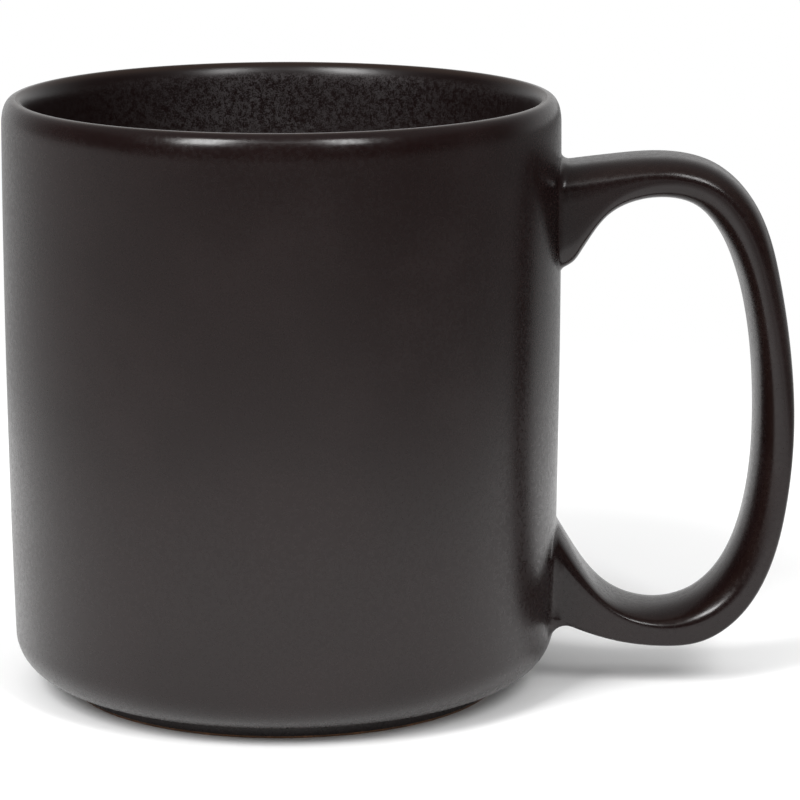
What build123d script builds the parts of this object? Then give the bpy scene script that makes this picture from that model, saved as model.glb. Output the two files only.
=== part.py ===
from build123d import *

import os

# A stoneware mug: a cup and a strap handle, held together by two slip joints.
# All sizes are in millimetres and include the glaze.  The origin is the centre of the foot, on the
# axis of the cup, at the height of the surface that the mug stands on.  +Z is up and the handle
# points along +X.

os.makedirs("parts", exist_ok=True)

# ---- Cup ----
cup_height = 97.0  # foot to the top of the lip
lip_radius = 45.0  # outside of the wall, where the lip begins to round
heel_radius = 44.3  # outside of the wall, where the heel begins to round
wall_bulge = 0.35  # how far the wall swells beyond a straight taper
wall_thickness = 4.0
lip_round_across = 2.3  # outer rounding of the lip, towards the axis
lip_round_up = 3.6  # outer rounding of the lip, upwards
heel_round_up = 7.2  # rounding under the wall, upwards
heel_clearance = 2.3  # underside of the heel above the table
floor_thickness = 5.4
floor_corner = 6.7  # radius where the inside wall meets the floor

# ---- Turned foot ring ----
foot_radius = 35.5
foot_width = 4.0
foot_recess = 2.7  # underside of the floor above the table
foot_fillet = 0.5  # where the ring leaves the heel and the floor
foot_edge = 0.6  # sponged edges of the ring's standing face

# ---- Strap handle ----
handle_reach = 38.1  # outermost point of the strap beyond the lip radius
handle_drop = 9.55  # top of the strap below the top of the lip
handle_bottom = 7.05  # underside of the strap above the table
strap_width = 17.0
strap_thickness_top = 5.9
strap_thickness_shoulder = 6.95
strap_thickness_side = 6.0
strap_thickness_heel = 5.85
strap_thickness_bottom = 5.0
strap_corner = 2.2  # rounding of the strap's four long edges
upper_root_height = 17.55  # from the top of the strap down to the tip of its flare on the wall
lower_root_height = 19.65
root_flare = 7.1  # how far from the wall the flares begin

# ---- Slip joints ----
slip_thickness = 0.6  # slip between the scored wall and the end of the strap
upper_slip_fillet = 1.6  # collar smoothed round the upper root
lower_slip_fillet = 2.9
slip_gap = 0.05  # a hair's breadth between the slip and what it holds

# ---- Worked out from the sizes above ----
lip_top_radius = lip_radius - lip_round_across
lip_round_inside = wall_thickness - lip_round_across
lip_start = cup_height - lip_round_up
heel_top = heel_clearance + heel_round_up
heel_inner_radius = foot_radius + foot_fillet
heel_round_across = heel_radius - heel_inner_radius
floor_top = foot_recess + floor_thickness
floor_corner_top = floor_top + floor_corner
foot_inner_radius = foot_radius - foot_width
handle_top = cup_height - handle_drop
handle_height = handle_top - handle_bottom
handle_middle = (handle_top + handle_bottom) / 2
upper_root_tip = handle_top - upper_root_height
lower_root_tip = handle_bottom + lower_root_height
root_run = 0.30  # share of the reach that the handle's outline runs on into the cup

# Seams of the turned faces lie in this plane, on the side away from the handle.
away_from_handle = Plane(origin=(0, 0, 0), x_dir=(-1, 0, 0), z_dir=(0, 1, 0))


# ---- Lines of the cup, seen from the side as radius and height ----


def on_wall(height, inset=0.0):
    """The point of the wall's outside line at a height, moved in by an inset."""
    share = (height - heel_top) / (lip_start - heel_top)
    swell = 4 * wall_bulge * share * (1 - share)
    return (heel_radius + (lip_radius - heel_radius) * share + swell - inset, height)


def outside_line(coat=0.0):
    """Draws the outside under a coat of some thickness, from under the heel to the lip."""
    EllipticalCenterArc(
        (heel_inner_radius, heel_top),
        heel_round_across + coat,
        heel_round_up + coat,
        start_angle=270,
        arc_size=90,
    )
    ThreePointArc(
        on_wall(heel_top, -coat),
        on_wall((heel_top + lip_start) / 2, -coat),
        on_wall(lip_start, -coat),
    )
    EllipticalCenterArc(
        (lip_top_radius, lip_start), lip_round_across + coat, lip_round_up + coat, arc_size=90
    )


def inside_line():
    """Draws the inside, from the floor's centre to the top of the lip."""
    floor_corner_centre = (
        on_wall(floor_corner_top, wall_thickness)[0] - floor_corner,
        floor_corner_top,
    )
    inside_lip = on_wall(cup_height - lip_round_inside, wall_thickness)
    Line((0, floor_top), (floor_corner_centre[0], floor_top))
    CenterArc(floor_corner_centre, floor_corner, 270, 90)
    ThreePointArc(
        on_wall(floor_corner_top, wall_thickness),
        on_wall((floor_corner_top + inside_lip[1]) / 2, wall_thickness),
        inside_lip,
    )
    EllipticalCenterArc(
        (lip_top_radius, inside_lip[1]),
        lip_top_radius - inside_lip[0],
        lip_round_inside,
        start_angle=180,
        arc_size=-90,
    )


def foot_line():
    """Draws the underside, from the recess's centre round the foot ring to the heel."""
    recess_corner = (foot_inner_radius - foot_fillet, foot_recess - foot_fillet)
    inner_edge = (foot_inner_radius + foot_edge, foot_edge)
    outer_edge = (foot_radius - foot_edge, foot_edge)
    heel_corner = (heel_inner_radius, heel_clearance - foot_fillet)
    Line((0, foot_recess), (recess_corner[0], foot_recess))
    CenterArc(recess_corner, foot_fillet, 0, 90)
    Line((foot_inner_radius, recess_corner[1]), (foot_inner_radius, foot_edge))
    CenterArc(inner_edge, foot_edge, 180, 90)
    Line((inner_edge[0], 0), (outer_edge[0], 0))
    CenterArc(outer_edge, foot_edge, 270, 90)
    Line((foot_radius, foot_edge), (foot_radius, heel_corner[1]))
    CenterArc(heel_corner, foot_fillet, 90, 90)


# ---- Lines of the handle in the XZ plane: an ear whose two ends run on into the cup ----


def on_ear(reach_share, height_share):
    """A point of the ear, in shares of the handle's reach and of its height."""
    return (lip_radius + handle_reach * reach_share, handle_bottom + handle_height * height_share)


def on_flare(root_tip, strap_face, out_share, height_share):
    """A point of a root's flare, between its tip on the wall and the strap's inner face."""
    return (lip_radius + root_flare * out_share, root_tip + (strap_face - root_tip) * height_share)


upper_face = handle_top - strap_thickness_top
lower_face = handle_bottom + strap_thickness_bottom
thickness_along_strap = [
    (0.170, strap_thickness_top),
    (0.225, (strap_thickness_top + strap_thickness_shoulder) / 2),
    (0.285, strap_thickness_shoulder),
    (0.370, strap_thickness_side),
    (0.500, strap_thickness_side),
    (0.620, strap_thickness_side),
    (0.700, strap_thickness_heel),
    (0.755, strap_thickness_heel),
    (0.820, strap_thickness_bottom),
]

with BuildLine(Plane.XY):
    outer_line = Spline(
        on_ear(-root_run, 0.962),
        on_ear(0.240, 0.995),
        on_ear(0.420, 1.000),
        on_ear(0.660, 0.975),
        on_ear(0.815, 0.907),
        on_ear(0.929, 0.759),
        on_ear(0.981, 0.609),
        on_ear(1.000, 0.459),
        on_ear(0.977, 0.309),
        on_ear(0.902, 0.160),
        on_ear(0.774, 0.061),
        on_ear(0.613, 0.011),
        on_ear(0.454, 0.000),
        on_ear(0.240, 0.011),
        on_ear(-root_run, 0.075),
    )
    inner_points = []
    for share, thickness in thickness_along_strap:
        along = outer_line % share
        inner_points.append(outer_line @ share + Vector(along.Y, -along.X) * thickness)
    inner_line = Spline(
        on_flare(upper_root_tip, upper_face, -1.0, -0.45),
        on_flare(upper_root_tip, upper_face, 0.155, 0.06),
        on_flare(upper_root_tip, upper_face, 0.57, 0.37),
        on_flare(upper_root_tip, upper_face, 1.0, 0.73),
        *inner_points,
        on_flare(lower_root_tip, lower_face, 1.0, 0.77),
        on_flare(lower_root_tip, lower_face, 0.57, 0.50),
        on_flare(lower_root_tip, lower_face, 0.03, 0.04),
        on_flare(lower_root_tip, lower_face, -1.0, -0.70),
    )


def points_beside(line, gap, spaces=20):
    """Evenly spaced points to the right of a line, seen along it."""
    points = []
    for step in range(spaces + 1):
        along = line % (step / spaces)
        points.append(line @ (step / spaces) + Vector(along.Y, -along.X) * gap)
    return points


# ---- Filled forms that the pieces are cut from ----


def wall_form(coat):
    """The cup's wall and heel under a coat of some thickness, filled in to the axis."""
    with BuildPart() as form:
        with BuildSketch(away_from_handle):
            with BuildLine():
                outside_line(coat)
                Polyline(
                    (lip_top_radius, cup_height + coat),
                    (0, cup_height + coat),
                    (0, heel_clearance - coat),
                    (heel_inner_radius, heel_clearance - coat),
                )
            make_face()
        revolve()
    return form.part


def strap_form(coat=0.0):
    """The strap under a coat of some thickness, its ends inside the cup."""
    with BuildPart() as form:
        with BuildSketch(Plane.XZ):
            with BuildLine():
                outside = Spline(*points_beside(outer_line, -coat))
                inside = Spline(*points_beside(inner_line, coat))
                Line(outside @ 0, inside @ 0)
                Line(outside @ 1, inside @ 1)
            make_face()
        extrude(amount=strap_width / 2 + coat, both=True)
        sides = form.faces().filter_by(Axis.Y)
        fillet(sides.edges().filter_by(GeomType.LINE, reverse=True), strap_corner + coat)
    return form.part


def root_edges(form, low, high):
    """The edges where the strap runs into the wall, from one height to another."""

    def on_root(edge):
        middle = edge.center()
        from_wall = Vector(middle.X, middle.Y).length - on_wall(middle.Z)[0]
        return middle.X > 0 and abs(from_wall) < slip_thickness and not edge.is_closed

    return form.edges().filter_by_position(Axis.Z, low, high).filter_by(on_root)


# Cup and strap run together, with the slip smoothed round both roots.
with BuildPart() as smoothed_form:
    add(wall_form(0))
    add(strap_form())
    fillet(root_edges(smoothed_form, handle_middle, cup_height), upper_slip_fillet)
    fillet(root_edges(smoothed_form, 0, handle_middle), lower_slip_fillet)

# The room that the handle takes up, a hair's breadth wider and longer than the handle.
with BuildPart() as handle_room:
    add(strap_form(slip_gap))
    add(wall_form(slip_thickness - slip_gap), mode=Mode.SUBTRACT)

# ---- The cup, turned in one piece with its floor, heel and foot ring ----

with BuildPart() as cup_body:
    with BuildSketch(away_from_handle):
        with BuildLine():
            outside_line()
            inside_line()
            foot_line()
            Line((0, floor_top), (0, foot_recess))
        make_face()
    revolve()
cup_body.part.label = "cup_body"
export_step(cup_body.part, "parts/cup_body.step")

# ---- The handle: a pulled strap, flared at both roots and cut to the curve of the wall ----

with BuildPart() as handle:
    add(strap_form())
    add(wall_form(slip_thickness), mode=Mode.SUBTRACT)
handle.part.label = "handle"
export_step(handle.part, "parts/handle.step")

# ---- The slip joints: a bed between wall and root, and the collar smoothed round it ----

root_box = (
    lip_radius + root_flare + max(upper_slip_fillet, lower_slip_fillet) - heel_inner_radius,
    2 * strap_width,
    handle_height / 2,
)
from_inner_side = (Align.MIN, Align.CENTER, Align.CENTER)

with BuildPart() as upper_slip_joint:
    with Locations((heel_inner_radius, 0, handle_middle + handle_height * 3 / 8)):
        Box(*root_box, align=from_inner_side)
    add(smoothed_form.part, mode=Mode.INTERSECT)
    add(wall_form(slip_gap), mode=Mode.SUBTRACT)
    add(handle_room.part, mode=Mode.SUBTRACT)
upper_slip_joint.part.label = "upper_slip_joint"
export_step(upper_slip_joint.part, "parts/upper_slip_joint.step")

with BuildPart() as lower_slip_joint:
    with Locations((heel_inner_radius, 0, handle_middle - handle_height * 3 / 8)):
        Box(*root_box, align=from_inner_side)
    add(smoothed_form.part, mode=Mode.INTERSECT)
    add(wall_form(slip_gap), mode=Mode.SUBTRACT)
    add(handle_room.part, mode=Mode.SUBTRACT)
lower_slip_joint.part.label = "lower_slip_joint"
export_step(lower_slip_joint.part, "parts/lower_slip_joint.step")
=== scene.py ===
import math
from bisect import bisect_right

import bpy
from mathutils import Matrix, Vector


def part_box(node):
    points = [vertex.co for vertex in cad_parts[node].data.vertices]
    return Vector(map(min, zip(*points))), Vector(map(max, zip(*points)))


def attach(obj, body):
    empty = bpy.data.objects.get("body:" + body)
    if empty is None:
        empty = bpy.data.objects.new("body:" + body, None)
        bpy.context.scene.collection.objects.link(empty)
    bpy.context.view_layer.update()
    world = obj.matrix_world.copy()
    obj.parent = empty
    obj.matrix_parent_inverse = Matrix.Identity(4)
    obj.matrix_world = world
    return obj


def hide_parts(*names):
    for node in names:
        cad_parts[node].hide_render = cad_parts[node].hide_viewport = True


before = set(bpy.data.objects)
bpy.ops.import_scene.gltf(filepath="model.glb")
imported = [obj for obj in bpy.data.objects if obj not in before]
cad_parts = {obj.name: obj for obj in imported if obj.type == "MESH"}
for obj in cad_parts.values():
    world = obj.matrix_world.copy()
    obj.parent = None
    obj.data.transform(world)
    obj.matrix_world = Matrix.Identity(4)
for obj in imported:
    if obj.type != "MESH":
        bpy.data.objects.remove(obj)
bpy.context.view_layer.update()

bl_info = {
    "name": "Stoneware Mug",
    "version": (1, 0, 0),
    "blender": (4, 5, 0),
    "location": "View3D > Sidebar > Mug",
    "description": "Dresses a stoneware mug in satin black glaze and sets it on a pale table",
    "category": "Object",
}

BODY = "root"
CUP_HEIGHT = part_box("cup_body")[1].z
HANDLE_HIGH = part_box("handle")[1]
HANDLE_REACH = HANDLE_HIGH.x
HALF_WIDTH = HANDLE_HIGH.y
WELD_DISTANCE = 1e-6
MM = 0.001
SMOOTH_ANGLE = 50
COLLAR_SMOOTH_ANGLE = 60
# The cup's material slots, in the order in which it holds them.
OUTER_SLOT, LINER_SLOT, CLAY_SLOT = range(3)


# ---------------------------------------------------------------------------
# Sizes and colours
# ---------------------------------------------------------------------------


class MugCupSizes(bpy.types.PropertyGroup):
    """Sizes of the cup's profile"""

    lip_radius: bpy.props.FloatProperty(
        name="Lip Radius",
        description="Outside of the wall where the lip begins to round",
        default=45.0 * MM,
        unit="LENGTH",
    )
    heel_radius: bpy.props.FloatProperty(
        name="Heel Radius",
        description="Outside of the wall where the heel begins to round",
        default=44.3 * MM,
        unit="LENGTH",
    )
    bulge: bpy.props.FloatProperty(
        name="Wall Bulge",
        description="How far the wall swells beyond a straight taper",
        default=0.35 * MM,
        unit="LENGTH",
    )
    wall: bpy.props.FloatProperty(
        name="Wall Thickness",
        description="Thickness of the wall with its glaze",
        default=4.0 * MM,
        unit="LENGTH",
    )
    lip_across: bpy.props.FloatProperty(
        name="Lip Rounding Across",
        description="Outer rounding of the lip towards the axis",
        default=2.3 * MM,
        unit="LENGTH",
    )
    lip_inside: bpy.props.FloatProperty(
        name="Lip Rounding Inside",
        description="Inner rounding of the lip downwards",
        default=3.6 * MM,
        unit="LENGTH",
    )
    lip_up: bpy.props.FloatProperty(
        name="Lip Rounding Up",
        description="Outer rounding of the lip upwards",
        default=4.6 * MM,
        unit="LENGTH",
    )
    heel_up: bpy.props.FloatProperty(
        name="Heel Rounding Up",
        description="Rounding under the wall upwards",
        default=7.2 * MM,
        unit="LENGTH",
    )
    heel_clearance: bpy.props.FloatProperty(
        name="Heel Clearance",
        description="Underside of the heel above the table",
        default=2.3 * MM,
        unit="LENGTH",
    )
    floor_top: bpy.props.FloatProperty(
        name="Floor Height",
        description="Inside of the floor above the table",
        default=8.1 * MM,
        unit="LENGTH",
    )
    floor_corner: bpy.props.FloatProperty(
        name="Floor Corner",
        description="Radius where the inside wall meets the floor",
        default=6.7 * MM,
        unit="LENGTH",
    )
    foot_radius: bpy.props.FloatProperty(
        name="Foot Radius",
        description="Outside of the foot ring",
        default=35.5 * MM,
        unit="LENGTH",
    )
    foot_width: bpy.props.FloatProperty(
        name="Foot Width",
        description="Width of the foot ring",
        default=4.0 * MM,
        unit="LENGTH",
    )
    foot_recess: bpy.props.FloatProperty(
        name="Foot Recess",
        description="Underside of the floor above the table",
        default=2.7 * MM,
        unit="LENGTH",
    )
    foot_fillet: bpy.props.FloatProperty(
        name="Foot Fillet",
        description="Where the ring leaves the heel and the floor",
        default=0.5 * MM,
        unit="LENGTH",
    )
    foot_edge: bpy.props.FloatProperty(
        name="Foot Edge",
        description="Sponged edges of the ring's standing face",
        default=0.3 * MM,
        unit="LENGTH",
    )
    glaze_line: bpy.props.FloatProperty(
        name="Glaze Line",
        description="Height at which the glaze stops above the wiped foot",
        default=0.45 * MM,
        unit="LENGTH",
    )
    glaze_step: bpy.props.FloatProperty(
        name="Glaze Step",
        description="How far the bare clay stands back from the glaze",
        default=0.2 * MM,
        unit="LENGTH",
    )
    turns: bpy.props.IntProperty(
        name="Turned Segments", description="Faces round the cup", default=192
    )


class MugHandleSizes(bpy.types.PropertyGroup):
    """Sizes of the strap handle and of the slip that holds it"""

    top: bpy.props.FloatProperty(
        name="Top",
        description="Top of the strap above the table",
        default=87.6 * MM,
        unit="LENGTH",
    )
    bottom: bpy.props.FloatProperty(
        name="Bottom",
        description="Underside of the strap above the table",
        default=7.05 * MM,
        unit="LENGTH",
    )
    thick_top: bpy.props.FloatProperty(
        name="Thickness Above",
        description="Thickness of the strap where it leaves the upper root",
        default=6.3 * MM,
        unit="LENGTH",
    )
    thick_shoulder: bpy.props.FloatProperty(
        name="Thickness At Shoulder",
        description="Thickness where the strap turns down",
        default=7.2 * MM,
        unit="LENGTH",
    )
    thick_side: bpy.props.FloatProperty(
        name="Thickness At Side",
        description="Thickness of the upright part",
        default=6.4 * MM,
        unit="LENGTH",
    )
    thick_heel: bpy.props.FloatProperty(
        name="Thickness At Heel",
        description="Thickness where the strap turns back",
        default=6.8 * MM,
        unit="LENGTH",
    )
    thick_bottom: bpy.props.FloatProperty(
        name="Thickness Below",
        description="Thickness of the strap where it reaches the lower root",
        default=5.65 * MM,
        unit="LENGTH",
    )
    corner: bpy.props.FloatProperty(
        name="Corner",
        description="Rounding of the long edges under the lower part of the strap",
        default=0.8 * MM,
        unit="LENGTH",
    )
    top_across: bpy.props.FloatProperty(
        name="Shoulder Across Above",
        description="How far the edges over the finger gap round towards the middle",
        default=5.6 * MM,
        unit="LENGTH",
    )
    top_deep: bpy.props.FloatProperty(
        name="Shoulder Depth Above",
        description="How far the edges over the finger gap round down the side",
        default=3.6 * MM,
        unit="LENGTH",
    )
    under_across: bpy.props.FloatProperty(
        name="Underside Across",
        description="How far the edges of the underside over the finger gap round inwards",
        default=2.6 * MM,
        unit="LENGTH",
    )
    under_deep: bpy.props.FloatProperty(
        name="Underside Depth",
        description="How far the edges of the underside over the finger gap round up the side",
        default=4.0 * MM,
        unit="LENGTH",
    )
    inner_across: bpy.props.FloatProperty(
        name="Shoulder Across Below",
        description="How far the edges of the inner face round towards the middle",
        default=7.8 * MM,
        unit="LENGTH",
    )
    inner_deep: bpy.props.FloatProperty(
        name="Shoulder Depth Below",
        description="How far the edges of the inner face round down the side",
        default=5.0 * MM,
        unit="LENGTH",
    )
    root_deep: bpy.props.FloatProperty(
        name="Shoulder Depth at the Root",
        description="How far the edges round down the side at the lower root",
        default=5.6 * MM,
        unit="LENGTH",
    )
    crown: bpy.props.FloatProperty(
        name="Crown",
        description="How far the outer face swells across its width",
        default=0.45 * MM,
        unit="LENGTH",
    )
    upper_tip: bpy.props.FloatProperty(
        name="Upper Tip",
        description="Height at which the upper flare ends on the wall",
        default=69.9 * MM,
        unit="LENGTH",
    )
    lower_tip: bpy.props.FloatProperty(
        name="Lower Tip",
        description="Height at which the lower flare ends on the wall",
        default=26.7 * MM,
        unit="LENGTH",
    )
    root_flare: bpy.props.FloatProperty(
        name="Root Flare",
        description="How far from the wall the flares begin",
        default=7.1 * MM,
        unit="LENGTH",
    )
    end_radius: bpy.props.FloatProperty(
        name="End Radius",
        description="How far from the axis the strap ends inside the wall",
        default=42.5 * MM,
        unit="LENGTH",
    )
    upper_fillet: bpy.props.FloatProperty(
        name="Upper Fillet",
        description="Hollow of the slip round the upper root",
        default=1.6 * MM,
        unit="LENGTH",
    )
    lower_fillet: bpy.props.FloatProperty(
        name="Lower Fillet",
        description="Hollow of the slip round the lower root",
        default=2.9 * MM,
        unit="LENGTH",
    )
    upper_side: bpy.props.FloatProperty(
        name="Upper Side Share",
        description="Share of the upper hollow left at the strap's sides",
        default=0.75,
        subtype="FACTOR",
    )
    lower_side: bpy.props.FloatProperty(
        name="Lower Side Share",
        description="Share of the lower hollow left at the strap's sides",
        default=0.85,
        subtype="FACTOR",
    )
    stations: bpy.props.IntProperty(
        name="Stations", description="Sections along the strap", default=200
    )


class MugGlazeLook(bpy.types.PropertyGroup):
    """Colours and gloss of the glaze and the clay"""

    glaze_color: bpy.props.FloatVectorProperty(
        name="Glaze",
        description="Body colour of the satin black glaze",
        subtype="COLOR",
        default=(0.0062, 0.0026, 0.0024),
    )
    # Paler than the glaze, these crystals also paint the lamps' sheen where they gather inside the
    # cup.
    crystal_sheen_color: bpy.props.FloatVectorProperty(
        name="Liner Crystals",
        description="Fine metallic crystals that give the liner its frosted sheen",
        subtype="COLOR",
        default=(0.150, 0.140, 0.142),
    )
    cloud_color: bpy.props.FloatVectorProperty(
        name="Glaze Cloud",
        description="Paler patches where the glaze lies thick and matte",
        subtype="COLOR",
        default=(0.0086, 0.0042, 0.0040),
    )
    break_color: bpy.props.FloatVectorProperty(
        name="Glaze Break",
        description="Brown that shows where the glaze runs thin over an edge",
        subtype="COLOR",
        default=(0.050, 0.026, 0.014),
    )
    clay_color: bpy.props.FloatVectorProperty(
        name="Bare Clay",
        description="Fired stoneware where the foot is wiped clean",
        subtype="COLOR",
        default=(0.20, 0.095, 0.045),
    )
    outer_roughness: bpy.props.FloatProperty(
        name="Outer Roughness",
        description="Roughness of the glaze outside",
        default=0.25,
        subtype="FACTOR",
        min=0.0,
        max=1.0,
    )
    liner_roughness: bpy.props.FloatProperty(
        name="Liner Roughness",
        description="Roughness of the glaze inside the cup",
        default=0.28,
        subtype="FACTOR",
        min=0.0,
        max=1.0,
    )
    frost_roughness: bpy.props.FloatProperty(
        name="Frost Roughness",
        description="Roughness of the crystals inside the cup",
        default=0.42,
        subtype="FACTOR",
        min=0.0,
        max=1.0,
    )


class MugStageLook(bpy.types.PropertyGroup):
    """Camera, table and lamps"""

    camera_place: bpy.props.FloatVectorProperty(
        name="Camera Place",
        description="Where the camera stands",
        subtype="TRANSLATION",
        unit="LENGTH",
        default=(0.01902, -0.62013, 0.18034),
    )
    camera_tilt: bpy.props.FloatProperty(
        name="Camera Tilt",
        description="How far the camera looks down",
        subtype="ANGLE",
        default=0.2120,
    )
    camera_lens: bpy.props.FloatProperty(
        name="Lens",
        description="Focal length on a 36 mm sensor, in millimetres",
        default=174.56,
    )
    floor_color: bpy.props.FloatVectorProperty(
        name="Table",
        description="Colour of the table",
        subtype="COLOR",
        default=(0.96, 0.96, 0.96),
    )
    ambient: bpy.props.FloatProperty(
        name="Ambient",
        description="Strength of the white surroundings on matte surfaces",
        default=0.85,
    )
    horizon: bpy.props.FloatProperty(
        name="Horizon",
        description="Brightness of the studio's walls in reflections",
        default=0.75,
    )
    ceiling: bpy.props.FloatProperty(
        name="Ceiling",
        description="Brightness of the studio's ceiling in reflections",
        default=0.30,
    )
    front_wall: bpy.props.FloatProperty(
        name="Front Wall",
        description="Brightness of the studio's side with the camera in reflections",
        default=0.06,
    )


# ---------------------------------------------------------------------------
# Modelling helpers
# ---------------------------------------------------------------------------


def deselect_all():
    """Leaves object mode with nothing selected."""
    if bpy.context.object and bpy.context.object.mode != "OBJECT":
        bpy.ops.object.mode_set(mode="OBJECT")
    bpy.ops.object.select_all(action="DESELECT")


def pick(piece):
    """Makes a piece the only selected object and the active one."""
    deselect_all()
    piece.select_set(True)
    bpy.context.view_layer.objects.active = piece


def name_piece(piece, name):
    """Gives a piece and its mesh the same name."""
    piece.name = name
    piece.data.name = name
    return piece


def arc(centre, across, up, start, sweep, steps):
    """Points on an ellipse's arc in radius and height, angles in degrees."""
    points = []
    for step in range(steps + 1):
        angle = math.radians(start + sweep * step / steps)
        points.append((centre[0] + across * math.cos(angle), centre[1] + up * math.sin(angle)))
    return points


def round_arc(centre, radius, start, sweep, steps):
    """Points on a circle's arc in radius and height, angles in degrees."""
    return arc(centre, radius, radius, start, sweep, steps)


def full_arc(centre, across, up, power, steps):
    """A quarter turn from the top outwards, squarer than an ellipse as the power falls below 1."""
    points = []
    for step in range(steps + 1):
        angle = math.pi / 2 * (1 - step / steps)
        side = across * max(0.0, math.cos(angle)) ** power
        rise = up * max(0.0, math.sin(angle)) ** power
        points.append((centre[0] + side, centre[1] + rise))
    return points


def draw_chain(points):
    """Draws a chain of edges through points of radius and height, in the XZ plane."""
    deselect_all()
    first = (points[0][0], 0.0, points[0][1])
    bpy.ops.mesh.primitive_plane_add(size=MM, location=first)
    chain = bpy.context.object
    bpy.ops.object.transform_apply(location=True, rotation=True, scale=True)
    bpy.ops.object.mode_set(mode="EDIT")
    bpy.ops.mesh.select_all(action="SELECT")
    bpy.ops.mesh.merge(type="CENTER")
    for before, after in zip(points, points[1:]):
        step = (after[0] - before[0], 0.0, after[1] - before[1])
        bpy.ops.mesh.extrude_region_move(TRANSFORM_OT_translate={"value": step})
    bpy.ops.object.mode_set(mode="OBJECT")
    return chain


def shade_smooth(piece, degrees):
    """Shades a piece smooth, with edges sharper than an angle kept sharp."""
    pick(piece)
    bpy.ops.object.shade_smooth_by_angle(angle=math.radians(degrees))


# ---------------------------------------------------------------------------
# Cup
# ---------------------------------------------------------------------------


# Points along each stretch of the cup's profile.
FLOOR_STEPS = 12
CORNER_STEPS = 12
INNER_WALL_STEPS = 30
INNER_LIP_STEPS = 14
OUTER_LIP_STEPS = 24
OUTER_WALL_STEPS = 36
HEEL_STEPS = 16
EDGE_STEPS = 6
BEAD_STEPS = 4
RECESS_STEPS = 10
# How square the lip's outer rounding is: 1 is an ellipse, less is fuller.
LIP_POWER = 0.8


def heel_top(sizes):
    """Height at which the heel's rounding meets the wall."""
    return sizes.heel_clearance + sizes.heel_up


def lip_start(sizes):
    """Height at which the wall's outside begins to round into the lip."""
    return CUP_HEIGHT - sizes.lip_up


def on_wall(sizes, height, inset=0.0):
    """The point of the wall's outside line at a height, moved in by an inset."""
    share = (height - heel_top(sizes)) / (lip_start(sizes) - heel_top(sizes))
    swell = 4 * sizes.bulge * share * (1 - share)
    radius = sizes.heel_radius + (sizes.lip_radius - sizes.heel_radius) * share + swell
    return (radius - inset, height)


def up_the_wall(sizes, low, high, inset, steps):
    """Points up the wall from one height to another."""
    return [on_wall(sizes, low + (high - low) * step / steps, inset) for step in range(steps + 1)]


def straight(start, end, steps):
    """Evenly spaced points from one point to another."""
    points = []
    for step in range(steps + 1):
        share = step / steps
        points.append(tuple(a + (b - a) * share for a, b in zip(start, end)))
    return points


def inside_profile(sizes):
    """The liner's outline: floor, corner, wall and the inner half of the lip."""
    corner = sizes.floor_corner
    corner_top = sizes.floor_top + corner
    corner_radius = on_wall(sizes, corner_top, sizes.wall)[0] - corner
    lip_bottom = CUP_HEIGHT - sizes.lip_inside
    lip_centre = (sizes.lip_radius - sizes.lip_across, lip_bottom)
    lip_across = lip_centre[0] - on_wall(sizes, lip_bottom, sizes.wall)[0]
    points = straight((0.0, sizes.floor_top), (corner_radius, sizes.floor_top), FLOOR_STEPS)
    points += round_arc((corner_radius, corner_top), corner, 270, 90, CORNER_STEPS)
    points += up_the_wall(sizes, corner_top, lip_bottom, sizes.wall, INNER_WALL_STEPS)
    points += arc(lip_centre, lip_across, sizes.lip_inside, 180, -90, INNER_LIP_STEPS)
    return points


def outside_profile(sizes):
    """The outer half of the lip, the wall and the heel."""
    lip_centre = (sizes.lip_radius - sizes.lip_across, lip_start(sizes))
    heel_centre = (sizes.foot_radius + sizes.foot_fillet, heel_top(sizes))
    heel_across = sizes.heel_radius - heel_centre[0]
    points = full_arc(lip_centre, sizes.lip_across, sizes.lip_up, LIP_POWER, OUTER_LIP_STEPS)
    points += up_the_wall(sizes, lip_start(sizes), heel_top(sizes), 0.0, OUTER_WALL_STEPS)
    points += arc(heel_centre, heel_across, sizes.heel_up, 0, -90, HEEL_STEPS)
    return points


def foot_profile(sizes):
    """The foot ring, whose glaze stops in a bead above the wiped face, and the recess inside it."""
    fillet = sizes.foot_fillet
    edge = sizes.foot_edge
    bead = sizes.glaze_step / 2
    bead_height = sizes.glaze_line + bead
    foot_inner = sizes.foot_radius - sizes.foot_width
    bare_outer = sizes.foot_radius - sizes.glaze_step
    bare_inner = foot_inner + sizes.glaze_step
    heel_corner = (sizes.foot_radius + fillet, sizes.heel_clearance - fillet)
    recess_corner = (foot_inner - fillet, sizes.foot_recess - fillet)
    recess_edge = (recess_corner[0], sizes.foot_recess)
    points = round_arc(heel_corner, fillet, 90, 90, EDGE_STEPS)
    points += round_arc((sizes.foot_radius - bead, bead_height), bead, 0, -90, BEAD_STEPS)
    points += [(bare_outer, sizes.glaze_line), (bare_outer, edge)]
    points += round_arc((bare_outer - edge, edge), edge, 0, -90, EDGE_STEPS)
    points += round_arc((bare_inner + edge, edge), edge, 270, -90, EDGE_STEPS)
    points += [(bare_inner, edge), (bare_inner, sizes.glaze_line)]
    points += round_arc((foot_inner + bead, bead_height), bead, 270, -90, BEAD_STEPS)
    points += round_arc(recess_corner, fillet, 0, 90, EDGE_STEPS)
    points += straight(recess_edge, (0.0, sizes.foot_recess), RECESS_STEPS)
    return points


def cup_profile(sizes):
    """The cup's whole outline in radius and height, from the floor's centre to the recess's."""
    points = inside_profile(sizes) + outside_profile(sizes) + foot_profile(sizes)
    line = points[:1]
    for point in points[1:]:
        if math.dist(point, line[-1]) > WELD_DISTANCE:
            line.append(point)
    return line


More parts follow.
